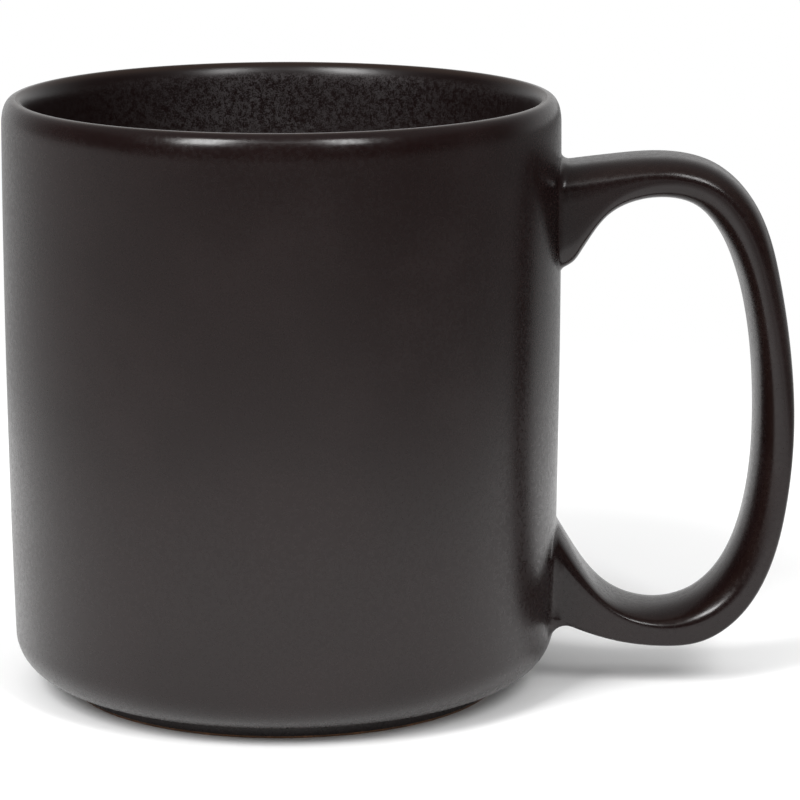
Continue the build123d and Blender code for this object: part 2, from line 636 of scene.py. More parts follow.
def region_of_cup(sizes, place):
    """The material slot that a face of the cup takes."""
    if place.z < sizes.glaze_line:
        return CLAY_SLOT
    wall_middle = on_wall(sizes, min(place.z, lip_start(sizes)), sizes.lip_across)[0]
    above_floor = place.z > sizes.floor_top - MM
    if above_floor and math.hypot(place.x, place.y) < wall_middle:
        return LINER_SLOT
    return OUTER_SLOT


class OBJECT_OT_mug_cup(bpy.types.Operator):
    """Turns the cup on its axis: wall, lip, heel, floor and foot ring in one piece"""

    bl_idname = "object.mug_cup"
    bl_label = "Turn Cup"

    def execute(self, context):
        sizes = context.scene.mug_cup_sizes
        cup = draw_chain(cup_profile(sizes))
        name_piece(cup, "cup_glazed")
        bpy.ops.object.mode_set(mode="EDIT")
        bpy.ops.mesh.select_all(action="SELECT")
        bpy.ops.mesh.spin(
            steps=sizes.turns, angle=2 * math.pi, center=(0, 0, 0), axis=(0, 0, 1)
        )
        bpy.ops.mesh.select_all(action="SELECT")
        bpy.ops.mesh.remove_doubles(threshold=WELD_DISTANCE)
        bpy.ops.mesh.normals_make_consistent(inside=False)
        bpy.ops.object.mode_set(mode="OBJECT")
        shade_smooth(cup, SMOOTH_ANGLE)
        for material in (outer_glaze(), liner_glaze(), bare_clay()):
            cup.data.materials.append(material)
        for face in cup.data.polygons:
            face.material_index = region_of_cup(sizes, face.center)
        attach(cup, BODY)
        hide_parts("cup_body")
        return {"FINISHED"}


# ---------------------------------------------------------------------------
# Handle and slip joints
# ---------------------------------------------------------------------------

# The ear's outer line from the upper root to the lower one, in shares of reach and height.
EAR_LINE = (
    (-0.300, 0.962),
    (0.240, 0.995),
    (0.420, 1.000),
    (0.660, 0.975),
    (0.815, 0.907),
    (0.929, 0.759),
    (0.981, 0.609),
    (1.000, 0.459),
    (0.977, 0.309),
    (0.902, 0.160),
    (0.774, 0.061),
    (0.613, 0.011),
    (0.454, 0.002),
    (0.240, 0.013),
    (0.030, 0.046),
    (-0.300, 0.125),
)
# Each root's flare down the strap's inner face, in shares of its run and its drop.
UPPER_FLARE = (
    (-1.0, -0.30),
    (0.10, 0.02),
    (0.26, 0.085),
    (0.42, 0.22),
    (0.57, 0.37),
    (1.0, 0.73),
)
LOWER_FLARE = ((1.0, 0.77), (0.57, 0.50), (0.03, 0.04), (-1.0, -0.70))
# Stretches over which the strap's section changes, in shares of its length.
PAST_SHOULDER = (0.30, 0.60)
PAST_UPPER_ROOT = (0.14, 0.36)
NEAR_LOWER_ROOT = (0.82, 0.97)
# The outer crown's loss below the shoulder and the inner crown, as shares of the outer crown.
LOWER_CROWN_LOSS = 0.3
INNER_CROWN = 0.35
# The most that a side's two corners take up, in half thicknesses of the strap.
CORNER_ROOM = 1.97
# Steps down a side of the strap, across half a face, and round a corner beyond those of a face.
SIDE_STEPS = 4
FACE_STEPS = 8
CORNER_EXTRA_STEPS = 2


class SmoothLine:
    """A springy line through points in the XZ plane, free at both ends."""

    def __init__(self, points):
        self.points = points
        self.knots = [0.0]
        for before, after in zip(points, points[1:]):
            self.knots.append(self.knots[-1] + math.dist(before, after))
        self.bends = [self.bends_along(axis) for axis in (0, 1)]

    def bends_along(self, axis):
        """Second derivatives at the points."""
        spans = [after - before for before, after in zip(self.knots, self.knots[1:])]
        values = [point[axis] for point in self.points]
        last = len(values) - 1
        ratios = [0.0] * (last + 1)
        bends = [0.0] * (last + 1)
        for i in range(1, last):
            slope_after = (values[i + 1] - values[i]) / spans[i]
            slope_before = (values[i] - values[i - 1]) / spans[i - 1]
            pivot = 2 * (spans[i - 1] + spans[i]) - spans[i - 1] * ratios[i - 1]
            ratios[i] = spans[i] / pivot
            bends[i] = (6 * (slope_after - slope_before) - spans[i - 1] * bends[i - 1]) / pivot
        for i in range(last - 1, 0, -1):
            bends[i] -= ratios[i] * bends[i + 1]
        return bends

    def at(self, share):
        """The point at a share of the line."""
        place = share * self.knots[-1]
        i = max(0, min(len(self.points) - 2, bisect_right(self.knots, place) - 1))
        span = self.knots[i + 1] - self.knots[i]
        after = (place - self.knots[i]) / span
        before = 1 - after
        point = []
        for axis in (0, 1):
            bends = self.bends[axis]
            pull = (before**3 - before) * bends[i] + (after**3 - after) * bends[i + 1]
            straight_part = before * self.points[i][axis] + after * self.points[i + 1][axis]
            point.append(straight_part + pull * span * span / 6)
        return Vector((point[0], 0.0, point[1]))

    def along(self, share, reach=1e-4):
        """The direction of the line at a share."""
        return (self.at(share + reach) - self.at(share - reach)).normalized()

    def crossing(self, x, low, high, halvings=40):
        """The share between two shares at which the line crosses a distance from the axis."""
        rising = self.at(high).x > self.at(low).x
        for _ in range(halvings):
            middle = (low + high) / 2
            if (self.at(middle).x < x) == rising:
                low = middle
            else:
                high = middle
        return (low + high) / 2


def smooth_step(value, low, high):
    """Rises gently from 0 to 1 between two values."""
    share = max(0.0, min(1.0, (value - low) / (high - low)))
    return share * share * (3 - 2 * share)


class Strap:
    """The strap's sections, from its end inside the wall above to its end inside it below."""

    def __init__(self, cup, sizes):
        self.sizes = sizes
        wall = cup.lip_radius
        reach = HANDLE_REACH - wall
        height = sizes.top - sizes.bottom
        self.outer = SmoothLine([(wall + reach * a, sizes.bottom + height * b) for a, b in EAR_LINE])
        beside = [self.under_outer(share, thickness) for share, thickness in self.thicknesses()]
        upper_face = sizes.top - sizes.thick_top
        lower_face = sizes.bottom + sizes.thick_bottom
        upper = self.flare(UPPER_FLARE, wall, sizes.upper_tip, upper_face)
        lower = self.flare(LOWER_FLARE, wall, sizes.lower_tip, lower_face)
        self.inner = SmoothLine([*upper, *beside, *lower])
        end = sizes.end_radius
        self.outer_ends = [self.outer.crossing(end, *part) for part in ((0.0, 0.2), (0.8, 1.0))]
        self.inner_ends = [self.inner.crossing(end, *part) for part in ((0.0, 0.1), (0.9, 1.0))]

    def thicknesses(self):
        """The strap's thickness between its two flares, at shares of its outer line."""
        sizes = self.sizes
        return (
            (0.170, sizes.thick_top),
            (0.225, (sizes.thick_top + sizes.thick_shoulder) / 2),
            (0.285, sizes.thick_shoulder),
            (0.370, sizes.thick_side),
            (0.500, sizes.thick_side),
            (0.620, sizes.thick_side),
            (0.700, sizes.thick_heel),
            (0.755, sizes.thick_heel),
            (0.820, sizes.thick_bottom),
        )

    def under_outer(self, share, thickness):
        """The point of the inner face straight under a share of the outer line."""
        along = self.outer.along(share)
        point = self.outer.at(share) + Vector((along.z, 0.0, -along.x)) * thickness
        return (point.x, point.z)

    def flare(self, shares, wall, tip, face):
        """Points of a root's flare between its tip on the wall and the strap's inner face."""
        run = self.sizes.root_flare
        return [(wall + run * across, tip + (face - tip) * up) for across, up in shares]

    def rib(self, share):
        """The strap's outer and inner points at a share of its length."""
        start, end = self.outer_ends
        outer = self.outer.at(start + (end - start) * share)
        start, end = self.inner_ends
        return outer, self.inner.at(start + (end - start) * share)

    def section(self, share):
        """Points round the strap at a share of its length, from the middle of its outer face."""
        sizes = self.sizes
        outer, inner = self.rib(share)
        half = (outer - inner).length / 2
        middle = (outer + inner) / 2
        up = (outer - inner).normalized()
        below = smooth_step(share, *PAST_SHOULDER)
        inside = smooth_step(share, *PAST_UPPER_ROOT)
        near_lower = smooth_step(share, *NEAR_LOWER_ROOT)
        outer_deep = sizes.top_deep + (sizes.corner - sizes.top_deep) * below
        outer_across = sizes.top_across + (sizes.corner - sizes.top_across) * below
        inner_deep = sizes.under_deep + (sizes.inner_deep - sizes.under_deep) * inside
        inner_deep += (sizes.root_deep - sizes.inner_deep) * near_lower
        inner_across = sizes.under_across + (sizes.inner_across - sizes.under_across) * inside
        outer_crown = sizes.crown * (1 - LOWER_CROWN_LOSS * below)
        inner_crown = sizes.crown * INNER_CROWN
        room = CORNER_ROOM * half - outer_crown - inner_crown
        squeeze = min(1.0, room / (outer_deep + inner_deep))
        outer_quarter = self.quarter(half, outer_deep * squeeze, outer_across, outer_crown)
        inner_quarter = self.quarter(half, inner_deep * squeeze, inner_across, inner_crown)
        side_start = outer_quarter[-1]
        side_end = (-inner_quarter[-1][0], inner_quarter[-1][1])
        right = outer_quarter + straight(side_start, side_end, SIDE_STEPS)[1:-1]
        right += [(-a, b) for a, b in reversed(inner_quarter)]
        left = [(a, -b) for a, b in reversed(right[1:-1])]
        return [middle + up * a + Vector((0.0, b, 0.0)) for a, b in right + left]

    def quarter(self, half, deep, across, crown):
        """Half a crowned face and its elliptical corner, from the middle to the side."""
        flat = HALF_WIDTH - across
        lean = math.atan(2 * crown * flat / HALF_WIDTH**2 * across / deep)
        edge = flat + across * math.sin(lean)
        points = []
        for step in range(FACE_STEPS):
            aside = edge * step / FACE_STEPS
            points.append((half - crown * (aside / HALF_WIDTH) ** 2, aside))
        centre = half - crown * (edge / HALF_WIDTH) ** 2 - deep * math.cos(lean)
        corner_steps = FACE_STEPS + CORNER_EXTRA_STEPS
        for step in range(corner_steps + 1):
            angle = lean + (math.pi / 2 - lean) * step / corner_steps
            points.append((centre + deep * math.cos(angle), flat + across * math.sin(angle)))
        return points


def wall_radius(cup, height, steepest=0.999):
    """Radius of the cup's outside at a height, down round the heel to just short of its underside."""
    if height >= heel_top(cup):
        return on_wall(cup, height)[0]
    inner = cup.foot_radius + cup.foot_fillet
    drop = min(steepest, (heel_top(cup) - height) / cup.heel_up)
    return inner + (cup.heel_radius - inner) * math.sqrt(1 - drop * drop)


def off_wall(cup, place):
    """How far a place lies outside the cup's wall."""
    return math.hypot(place.x, place.y) - wall_radius(cup, place.z)


def out_of_wall(cup, place, step=0.05 * MM):
    """The direction straight out of the wall at a place."""
    slope = (wall_radius(cup, place.z + step) - wall_radius(cup, place.z - step)) / (2 * step)
    flat = Vector((place.x, place.y, 0.0)).normalized()
    return Vector((flat.x, flat.y, -slope)).normalized()


def onto_wall(cup, place):
    """A place moved level onto the cup's wall."""
    share = wall_radius(cup, place.z) / math.hypot(place.x, place.y)
    return Vector((place.x * share, place.y * share, place.z))


def skin(name, rows, ring=False):
    """A surface through rows of points, closed round each row: a flat grid shaped to them."""
    across = len(rows[0])
    along = len(rows) if ring else len(rows) - 1
    deselect_all()
    bpy.ops.mesh.primitive_grid_add(x_subdivisions=across, y_subdivisions=along, size=1.0)
    piece = name_piece(bpy.context.object, name)
    for vertex in piece.data.vertices:
        column = round((vertex.co.x + 0.5) * across) % across
        row = round((vertex.co.y + 0.5) * along)
        vertex.co = rows[row % len(rows)][column]
    bpy.ops.object.mode_set(mode="EDIT")
    bpy.ops.mesh.select_all(action="SELECT")
    bpy.ops.mesh.remove_doubles(threshold=WELD_DISTANCE)
    if not ring:
        bpy.ops.mesh.fill_holes(sides=0)
    bpy.ops.mesh.select_all(action="SELECT")
    bpy.ops.mesh.normals_make_consistent(inside=False)
    bpy.ops.object.mode_set(mode="OBJECT")
    return piece


class OBJECT_OT_mug_handle(bpy.types.Operator):
    """Pulls the strap handle, crowned and softer towards its roots, and glazes it"""

    bl_idname = "object.mug_handle"
    bl_label = "Pull Handle"

    def execute(self, context):
        sizes = context.scene.mug_handle_sizes
        strap = Strap(context.scene.mug_cup_sizes, sizes)
        rows = [strap.section(step / sizes.stations) for step in range(sizes.stations + 1)]
        handle = skin("handle_glazed", rows)
        shade_smooth(handle, SMOOTH_ANGLE)
        handle.data.materials.append(handle_glaze())
        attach(handle, BODY)
        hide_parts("handle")
        return {"FINISHED"}


# The roots are looked for in fine steps along this share of the strap at either end.
SEARCH_SHARE = 0.15
SEARCH_STEPS = 300
# Steps across a collar's hollow, and the longest hollow in fillet radii.
HOLLOW_STEPS = 9
LONGEST_HOLLOW = 1.25
# How far a collar runs on past its edges, how deep it sinks there and how deep its core lies.
OVERLAP = 0.4 * MM
SUNK = 0.03 * MM
CORE_DEPTH = 0.6 * MM


def leaving_wall(cup, line):
    """The first place of a line outside the wall, by its number, and where the line leaves it."""
    out = next(i for i, place in enumerate(line) if off_wall(cup, place) > 0)
    inside = -off_wall(cup, line[out - 1])
    part = inside / (inside + off_wall(cup, line[out]))
    return out, line[out - 1].lerp(line[out], part)


def out_of_strap(sections, out, column, root):
    """The direction straight out of the strap's surface at a root."""
    section = sections[out]
    count = len(section)
    beside = section[(column + 1) % count] - section[column - 1]
    run = sections[out + 1][column] - sections[out - 1][column]
    facing = run.cross(beside).normalized()
    centre = sum(section, Vector()) / count
    if facing.dot(root - centre) < 0:
        facing.negate()
    return facing


def hollow(handles):
    """Places along a curve pulled by four handles."""
    places = []
    for step in range(HOLLOW_STEPS + 1):
        share = step / HOLLOW_STEPS
        rest = 1 - share
        places.append(
            handles[0] * rest**3
            + handles[1] * 3 * rest * rest * share
            + handles[2] * 3 * rest * share * share
            + handles[3] * share**3
        )
    return places


def collar_column(cup, line, out, root, facing, fillet, side_share):
    """Places across a collar at one line of the strap, from its core over the wall to the strap."""
    wall_way = out_of_wall(cup, root)
    down_wall = (facing - facing.dot(wall_way) * wall_way).normalized()
    up_strap = (wall_way - wall_way.dot(facing) * facing).normalized()
    open_angle = down_wall.angle(up_strap)
    radius = fillet * (1 - (1 - side_share) * facing.y**2)
    reach = min(radius / math.tan(open_angle / 2), LONGEST_HOLLOW * fillet)
    pull = 4 / 3 * math.tan((math.pi - open_angle) / 4) * reach * math.tan(open_angle / 2)
    last = next(i for i in range(out, len(line)) if (line[i] - root).dot(up_strap) > reach)
    on_strap = line[last]
    strap_run = (line[last + 1] - line[last - 1]).normalized()
    wall_end = onto_wall(cup, root + down_wall * reach)
    wall_run = out_of_wall(cup, wall_end)
    wall_run = (down_wall - down_wall.dot(wall_run) * wall_run).normalized()
    core = root - wall_way * CORE_DEPTH - facing * OVERLAP
    sunk_wall = onto_wall(cup, wall_end + wall_run * OVERLAP) - wall_way * SUNK
    sunk_strap = on_strap + strap_run * OVERLAP - facing * SUNK
    handles = (wall_end, wall_end - wall_run * pull, on_strap - strap_run * pull, on_strap)
    return [core, sunk_wall, *hollow(handles), sunk_strap]


def collar_rows(strap, cup, upper, fillet, side_share):
    """Rows of a slip collar, swept hollow from the wall to the strap all round a root."""
    search = [SEARCH_SHARE * step / SEARCH_STEPS for step in range(SEARCH_STEPS)]
    shares = search if upper else [1 - share for share in search]
    sections = [strap.section(share) for share in shares]
    columns = []
    for column in range(len(sections[0])):
        line = [section[column] for section in sections]
        out, root = leaving_wall(cup, line)
        facing = out_of_strap(sections, out, column, root)
        columns.append(collar_column(cup, line, out, root, facing, fillet, side_share))
    return [list(row) for row in zip(*columns)]


class OBJECT_OT_mug_slip_joints(bpy.types.Operator):
    """Smooths the collars of slip round both roots of the handle"""

    bl_idname = "object.mug_slip_joints"
    bl_label = "Smooth Slip Joints"

    def execute(self, context):
        cup = context.scene.mug_cup_sizes
        sizes = context.scene.mug_handle_sizes
        strap = Strap(cup, sizes)
        for end, fillet, side in (
            ("upper", sizes.upper_fillet, sizes.upper_side),
            ("lower", sizes.lower_fillet, sizes.lower_side),
        ):
            rows = collar_rows(strap, cup, end == "upper", fillet, side)
            collar = skin(f"{end}_collar_glazed", rows, ring=True)
            shade_smooth(collar, COLLAR_SMOOTH_ANGLE)
            collar.data.materials.append(outer_glaze())
            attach(collar, BODY)
            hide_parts(f"{end}_slip_joint")
        return {"FINISHED"}


# ---------------------------------------------------------------------------
# Materials
# ---------------------------------------------------------------------------


# How deep the skin of the glaze and the grain of the clay are, and how they bend light.
PEEL_DEPTH = 0.006 * MM
GRAIN_DEPTH = 0.05 * MM
GLAZE_IOR = 1.42
CLAY_IOR = 1.45
NODE_SPACING = 220


class Wiring:
    """Adds nodes to a tree and links them, one after the other."""

    def __init__(self, tree):
        self.tree = tree
        self.column = 0

    def add(self, kind, inputs=None, **settings):
        """Adds a node, sets its settings, and sets or links its inputs."""
        node = self.tree.nodes.new(kind)
        node.location = (self.column, 0)
        self.column += NODE_SPACING
        for key, value in settings.items():
            setattr(node, key, value)
        for key, value in (inputs or {}).items():
            self.feed(node.inputs[key], value)
        return node

    def feed(self, socket, value):
        """Links a socket to another node's output, or sets its value."""
        if isinstance(value, bpy.types.NodeSocket):
            self.tree.links.new(value, socket)
        else:
            socket.default_value = value

    def math(self, operation, first, second=0.0, third=0.0):
        """One step of arithmetic."""
        node = self.add("ShaderNodeMath", {0: first, 1: second, 2: third}, operation=operation)
        return node.outputs[0]

    def diagonal(self, first, second):
        """The long side over two sides at right angles."""
        squares = self.math("MULTIPLY", first, first)
        squares = self.math("MULTIPLY_ADD", second, second, squares)
        return self.math("SQRT", squares)

    def split(self, vector):
        """The X, Y and Z of a vector."""
        return self.add("ShaderNodeSeparateXYZ", {"Vector": vector}).outputs

    def ramp(self, value, low, high, to_low=0.0, to_high=1.0, smooth=True):
        """Maps a value from one range to another."""
        node = self.add(
            "ShaderNodeMapRange",
            {"Value": value, "From Min": low, "From Max": high, "To Min": to_low, "To Max": to_high},
            interpolation_type="SMOOTHSTEP" if smooth else "LINEAR",
        )
        return node.outputs["Result"]

    def noise(self, vector, scale, detail=2.0, roughness=0.5):
        """Smooth noise at so many cells per metre."""
        node = self.add(
            "ShaderNodeTexNoise",
            {"Vector": vector, "Scale": scale, "Detail": detail, "Roughness": roughness},
        )
        return node.outputs["Fac"]

    def mix(self, share, first, second):
        """Mixes two colours."""
        node = self.add("ShaderNodeMix", data_type="RGBA")
        self.feed(node.inputs["Factor"], share)
        self.feed(node.inputs["A"], opaque(first))
        self.feed(node.inputs["B"], opaque(second))
        return node.outputs["Result"]


def opaque(color):
    """A colour with alpha, or a socket left as it is."""
    if isinstance(color, bpy.types.NodeSocket):
        return color
    return (*color[:3], 1.0)


def new_group(name, inputs, outputs):
    """A shader node group with named sockets, its wiring and what it is given."""
    group = bpy.data.node_groups.new(name, "ShaderNodeTree")
    for socket_name, kind, value in inputs:
        socket = group.interface.new_socket(socket_name, in_out="INPUT", socket_type=kind)
        if value is not None:
            socket.default_value = value
    for socket_name, kind in outputs:
        group.interface.new_socket(socket_name, in_out="OUTPUT", socket_type=kind)
    wiring = Wiring(group)
    start = wiring.add("NodeGroupInput")
    return group, wiring, start.outputs


def fired_glaze_group():
    """How a matte glaze lies: slow clouds, fine grain, dark specks and an orange-peel skin."""
    name = "fired_glaze"
    if name in bpy.data.node_groups:
        return bpy.data.node_groups[name]
    group, wiring, given = new_group(
        name,
        [
            ("Vector", "NodeSocketVector", None),
            ("Cloud Scale", "NodeSocketFloat", 45.0),
            ("Grain Scale", "NodeSocketFloat", 1500.0),
            ("Speck Scale", "NodeSocketFloat", 900.0),
            ("Speck Share", "NodeSocketFloat", 0.35),
        ],
        [
            ("Cloud", "NodeSocketFloat"),
            ("Grain", "NodeSocketFloat"),
            ("Specks", "NodeSocketFloat"),
            ("Skin", "NodeSocketFloat"),
        ],
    )
    place = given["Vector"]
    slow = wiring.noise(place, given["Cloud Scale"], detail=3.0, roughness=0.55)
    cloud = wiring.ramp(slow, 0.36, 0.66)
    grain = wiring.ramp(wiring.noise(place, given["Grain Scale"], detail=1.0), 0.30, 0.70)
    drift_scale = wiring.math("MULTIPLY", given["Speck Scale"], 0.21)
    drift = wiring.noise(place, drift_scale, detail=1.0)
    fine = wiring.noise(place, given["Speck Scale"], detail=3.0, roughness=0.65)
    edge = wiring.math("MULTIPLY_ADD", drift, 0.35, given["Speck Share"])
    far_edge = wiring.math("ADD", edge, 0.08)
    specks = wiring.ramp(fine, edge, far_edge, 1.0, 0.0)
    peel = wiring.noise(place, wiring.math("MULTIPLY", given["Grain Scale"], 0.33), detail=2.0)
    fine_part = wiring.math("MULTIPLY", fine, 0.25)
    skin = wiring.math("MULTIPLY_ADD", peel, 0.75, fine_part)
    end = wiring.add("NodeGroupOutput")
    for socket, value in (("Cloud", cloud), ("Grain", grain), ("Specks", specks), ("Skin", skin)):
        wiring.feed(end.inputs[socket], value)
    return group


def ring_mask_group():
    """A soft ring round the cup's axis at one radius and height, where the glaze runs thin."""
    name = "thin_ring"
    if name in bpy.data.node_groups:
        return bpy.data.node_groups[name]
    group, wiring, given = new_group(
        name,
        [
            ("Vector", "NodeSocketVector", None),
            ("Radius", "NodeSocketFloat", 43.0 * MM),
            ("Height", "NodeSocketFloat", CUP_HEIGHT),
            ("Width", "NodeSocketFloat", 0.6 * MM),
        ],
        [("Mask", "NodeSocketFloat")],
    )
    parts = wiring.split(given["Vector"])
    radius = wiring.diagonal(parts["X"], parts["Y"])
    off_radius = wiring.math("SUBTRACT", radius, given["Radius"])
    off_height = wiring.math("SUBTRACT", parts["Z"], given["Height"])
    distance = wiring.diagonal(off_radius, off_height)
    mask = wiring.ramp(distance, 0.0, given["Width"], 1.0, 0.0)
    end = wiring.add("NodeGroupOutput")
    wiring.feed(end.inputs["Mask"], mask)
    return group


def new_material(name):
    """An empty node material with its Principled shader, wiring and object coordinates."""
    material = bpy.data.materials.new(name)
    material.use_nodes = True
    tree = material.node_tree
    tree.nodes.clear()
    wiring = Wiring(tree)
    place = wiring.add("ShaderNodeTexCoord").outputs["Object"]
    return material, wiring, place


def finish_material(wiring, color, roughness, height, bump, ior):
    """Ends a material in a Principled shader with a bumped normal."""
    bumped = wiring.add(
        "ShaderNodeBump", {"Strength": 1.0, "Distance": bump, "Height": height}
    )
    shader = wiring.add(
        "ShaderNodeBsdfPrincipled",
        {"Base Color": color, "Roughness": roughness, "Normal": bumped.outputs["Normal"]},
    )
    shader.inputs["IOR"].default_value = ior
    wiring.add("ShaderNodeOutputMaterial", {"Surface": shader.outputs["BSDF"]})
    return shader


def fired_glaze(wiring, place, **settings):
    """Places the glaze group in a material with its own scales."""
    node = wiring.add("ShaderNodeGroup", node_tree=fired_glaze_group())
    wiring.feed(node.inputs["Vector"], place)
    for key, value in settings.items():
        node.inputs[key.replace("_", " ").title()].default_value = value
    return node.outputs


def lip_mask(wiring, place, width):
    """Places the ring group in a material, round the top of the lip."""
    sizes = bpy.context.scene.mug_cup_sizes
    node = wiring.add("ShaderNodeGroup", node_tree=ring_mask_group())
    wiring.feed(node.inputs["Vector"], place)
    node.inputs["Radius"].default_value = sizes.lip_radius - sizes.lip_across
    node.inputs["Height"].default_value = CUP_HEIGHT
    node.inputs["Width"].default_value = width
    return node.outputs["Mask"]


def outer_glaze():
    """Satin black glaze on the outside of the cup and on the slip joints."""
    name = "outer_satin_glaze"
    if name in bpy.data.materials:
        return bpy.data.materials[name]
    look = bpy.context.scene.mug_glaze_look
    material, wiring, place = new_material(name)
    glaze = fired_glaze(wiring, place, cloud_scale=42.0, grain_scale=1400.0, speck_scale=1100.0)
    color = wiring.mix(glaze["Cloud"], look.glaze_color, look.cloud_color)
    lip = lip_mask(wiring, place, 5.0 * MM)
    edge = wiring.ramp(lip, 0.88, 1.0)
    thin = wiring.math("MULTIPLY", edge, wiring.ramp(glaze["Grain"], 0.0, 1.0, 0.1, 0.3))
    color = wiring.mix(thin, color, look.break_color)
    roughness = wiring.math("MULTIPLY_ADD", glaze["Grain"], 0.07, look.outer_roughness - 0.035)
    roughness = wiring.math("MULTIPLY_ADD", glaze["Cloud"], 0.05, roughness)
    roughness = wiring.math("MULTIPLY_ADD", lip, -0.08, roughness)
    finish_material(wiring, color, roughness, glaze["Skin"], PEEL_DEPTH, GLAZE_IOR)
    return material


def handle_glaze():
    """Satin black glaze on the handle, breaking brown along the strap's long edges."""
    name = "handle_satin_glaze"
    if name in bpy.data.materials:
        return bpy.data.materials[name]
    look = bpy.context.scene.mug_glaze_look
    material, wiring, place = new_material(name)
    glaze = fired_glaze(wiring, place, cloud_scale=60.0, grain_scale=1400.0, speck_scale=1100.0)
    color = wiring.mix(glaze["Cloud"], look.glaze_color, look.cloud_color)
    side = wiring.math("ABSOLUTE", wiring.split(place)["Y"])
    inner = wiring.ramp(side, HALF_WIDTH - 2.2 * MM, HALF_WIDTH - 1.2 * MM)
    outer = wiring.ramp(side, HALF_WIDTH - 0.5 * MM, HALF_WIDTH, 1.0, 0.0)
    thin = wiring.math("MULTIPLY", wiring.math("MULTIPLY", inner, outer), 0.05)
    thin = wiring.math("MULTIPLY", thin, wiring.ramp(glaze["Grain"], 0.0, 1.0, 0.5, 1.0))
    color = wiring.mix(thin, color, look.break_color)
    roughness = wiring.math("MULTIPLY_ADD", glaze["Grain"], 0.07, look.outer_roughness - 0.045)
    roughness = wiring.math("MULTIPLY_ADD", glaze["Cloud"], 0.04, roughness)
    roughness = wiring.math("MULTIPLY_ADD", thin, -0.10, roughness)
    finish_material(wiring, color, roughness, glaze["Skin"], PEEL_DEPTH, GLAZE_IOR)
    return material


def liner_glaze():
    """The same glaze inside the cup, frosted with fine crystals that are gathered where they paint
    the lamps' sheen on the back wall.
    """
    name = "liner_satin_glaze"
    if name in bpy.data.materials:
        return bpy.data.materials[name]
    look = bpy.context.scene.mug_glaze_look
    material, wiring, place = new_material(name)
    glaze = fired_glaze(
        wiring, place, cloud_scale=75.0, grain_scale=1600.0, speck_scale=5200.0, speck_share=0.30
    )
    lip = lip_mask(wiring, place, 3.4 * MM)
    frost_and_sheen = wiring.math("SUBTRACT", 1.0, glaze["Specks"])
    frost_and_sheen = wiring.math("MULTIPLY", frost_and_sheen, wiring.ramp(lip, 0.0, 0.5, 1.0, 0.0))
    # Painted sheen: noise patches, shifted so that the crystals gather where the lamps' sheen falls.
    moved = wiring.add("ShaderNodeMapping", {"Vector": place, "Location": (0.013, 0.009, 0.006)})
    fields = wiring.noise(moved.outputs["Vector"], 34.0, detail=2.0)
    patches = wiring.ramp(fields, 0.30, 0.70, 0.20, 0.62)
    # Painted sheen: the crystals and their paler colour lie thickest round the middle of the back
    # wall, a little towards the handle, where the lamps' sheen falls, and thin out to the left, which
    # stays dark.
    across = wiring.split(place)["X"]
    away = wiring.ramp(across, -34.0 * MM, 8.0 * MM, 0.08, 1.0)
    towards = wiring.ramp(across, 16.0 * MM, 38.0 * MM, 1.0, 0.25)
    patches = wiring.math("MULTIPLY", patches, away)
    patches = wiring.math("MULTIPLY", patches, towards)
    frost_and_sheen = wiring.math("MULTIPLY", frost_and_sheen, patches)
    color = wiring.mix(frost_and_sheen, look.glaze_color, look.crystal_sheen_color)
    color = wiring.mix(wiring.ramp(lip, 0.55, 0.95, 0.0, 0.2), color, look.break_color)
    rougher = look.frost_roughness - look.liner_roughness
    roughness = wiring.math("MULTIPLY_ADD", frost_and_sheen, rougher, look.liner_roughness)
    shader = finish_material(wiring, color, roughness, glaze["Skin"], PEEL_DEPTH, GLAZE_IOR)
    wiring.feed(shader.inputs["Metallic"], frost_and_sheen)
    return material


def bare_clay():
    """Fired stoneware on the wiped foot, with iron specks."""
    name = "bare_stoneware"
    if name in bpy.data.materials:
        return bpy.data.materials[name]
    look = bpy.context.scene.mug_glaze_look
    material, wiring, place = new_material(name)
    glaze = fired_glaze(wiring, place, cloud_scale=110.0, grain_scale=2600.0, speck_scale=700.0)
    dark = tuple(0.55 * part for part in look.clay_color)
    color = wiring.mix(glaze["Grain"], dark, look.clay_color)
    color = wiring.mix(wiring.math("MULTIPLY", glaze["Specks"], 0.5), color, look.break_color)
    roughness = wiring.math("MULTIPLY_ADD", glaze["Grain"], 0.1, 0.78)
    finish_material(wiring, color, roughness, glaze["Grain"], GRAIN_DEPTH, CLAY_IOR)
    return material


# ---------------------------------------------------------------------------
# Stage
# ---------------------------------------------------------------------------

# The table keeps shadows within the first radius and is plain white beyond the second.
SHADOW_RADIUS = 0.13
WHITE_RADIUS = 0.30
# In reflections the table glows with painted light, dimmer towards the handle's side over this
# distance.
DIM_DISTANCE = 0.50
TABLE_BRIGHT = 0.76
TABLE_DIM = 0.22
TABLE_SIZE = 6.0
# What the lamps are turned to, and each lamp's name, place, width, height and power.
LAMP_TARGET = (0.02, 0.0, 0.05)
SOFTBOXES = (
    ("softbox_left", (-0.48, -0.72, 0.80), 0.30, 0.50, 9.5),
    ("softbox_right", (0.44, -0.74, 0.80), 0.22, 0.44, 4.6),
    ("softbox_front", (-0.02, -0.85, 0.88), 1.00, 0.12, 0.7),
)
# How steeply a reflection looks up where each wall meets the ceiling, and how far back it looks
# where the front wall gives way to the backdrop, as parts of its direction.
FRONT_TO_CEILING = (0.40, 0.85)
BACKDROP_TO_CEILING = (0.0, 0.80)
FRONT_TO_BACKDROP = (0.20, 0.90)
CARD_PLACE = (0.0, -0.60, 0.19)
CARD_WIDTH = 3.0
CARD_HEIGHT = 0.38
SENSOR_WIDTH = 36.0


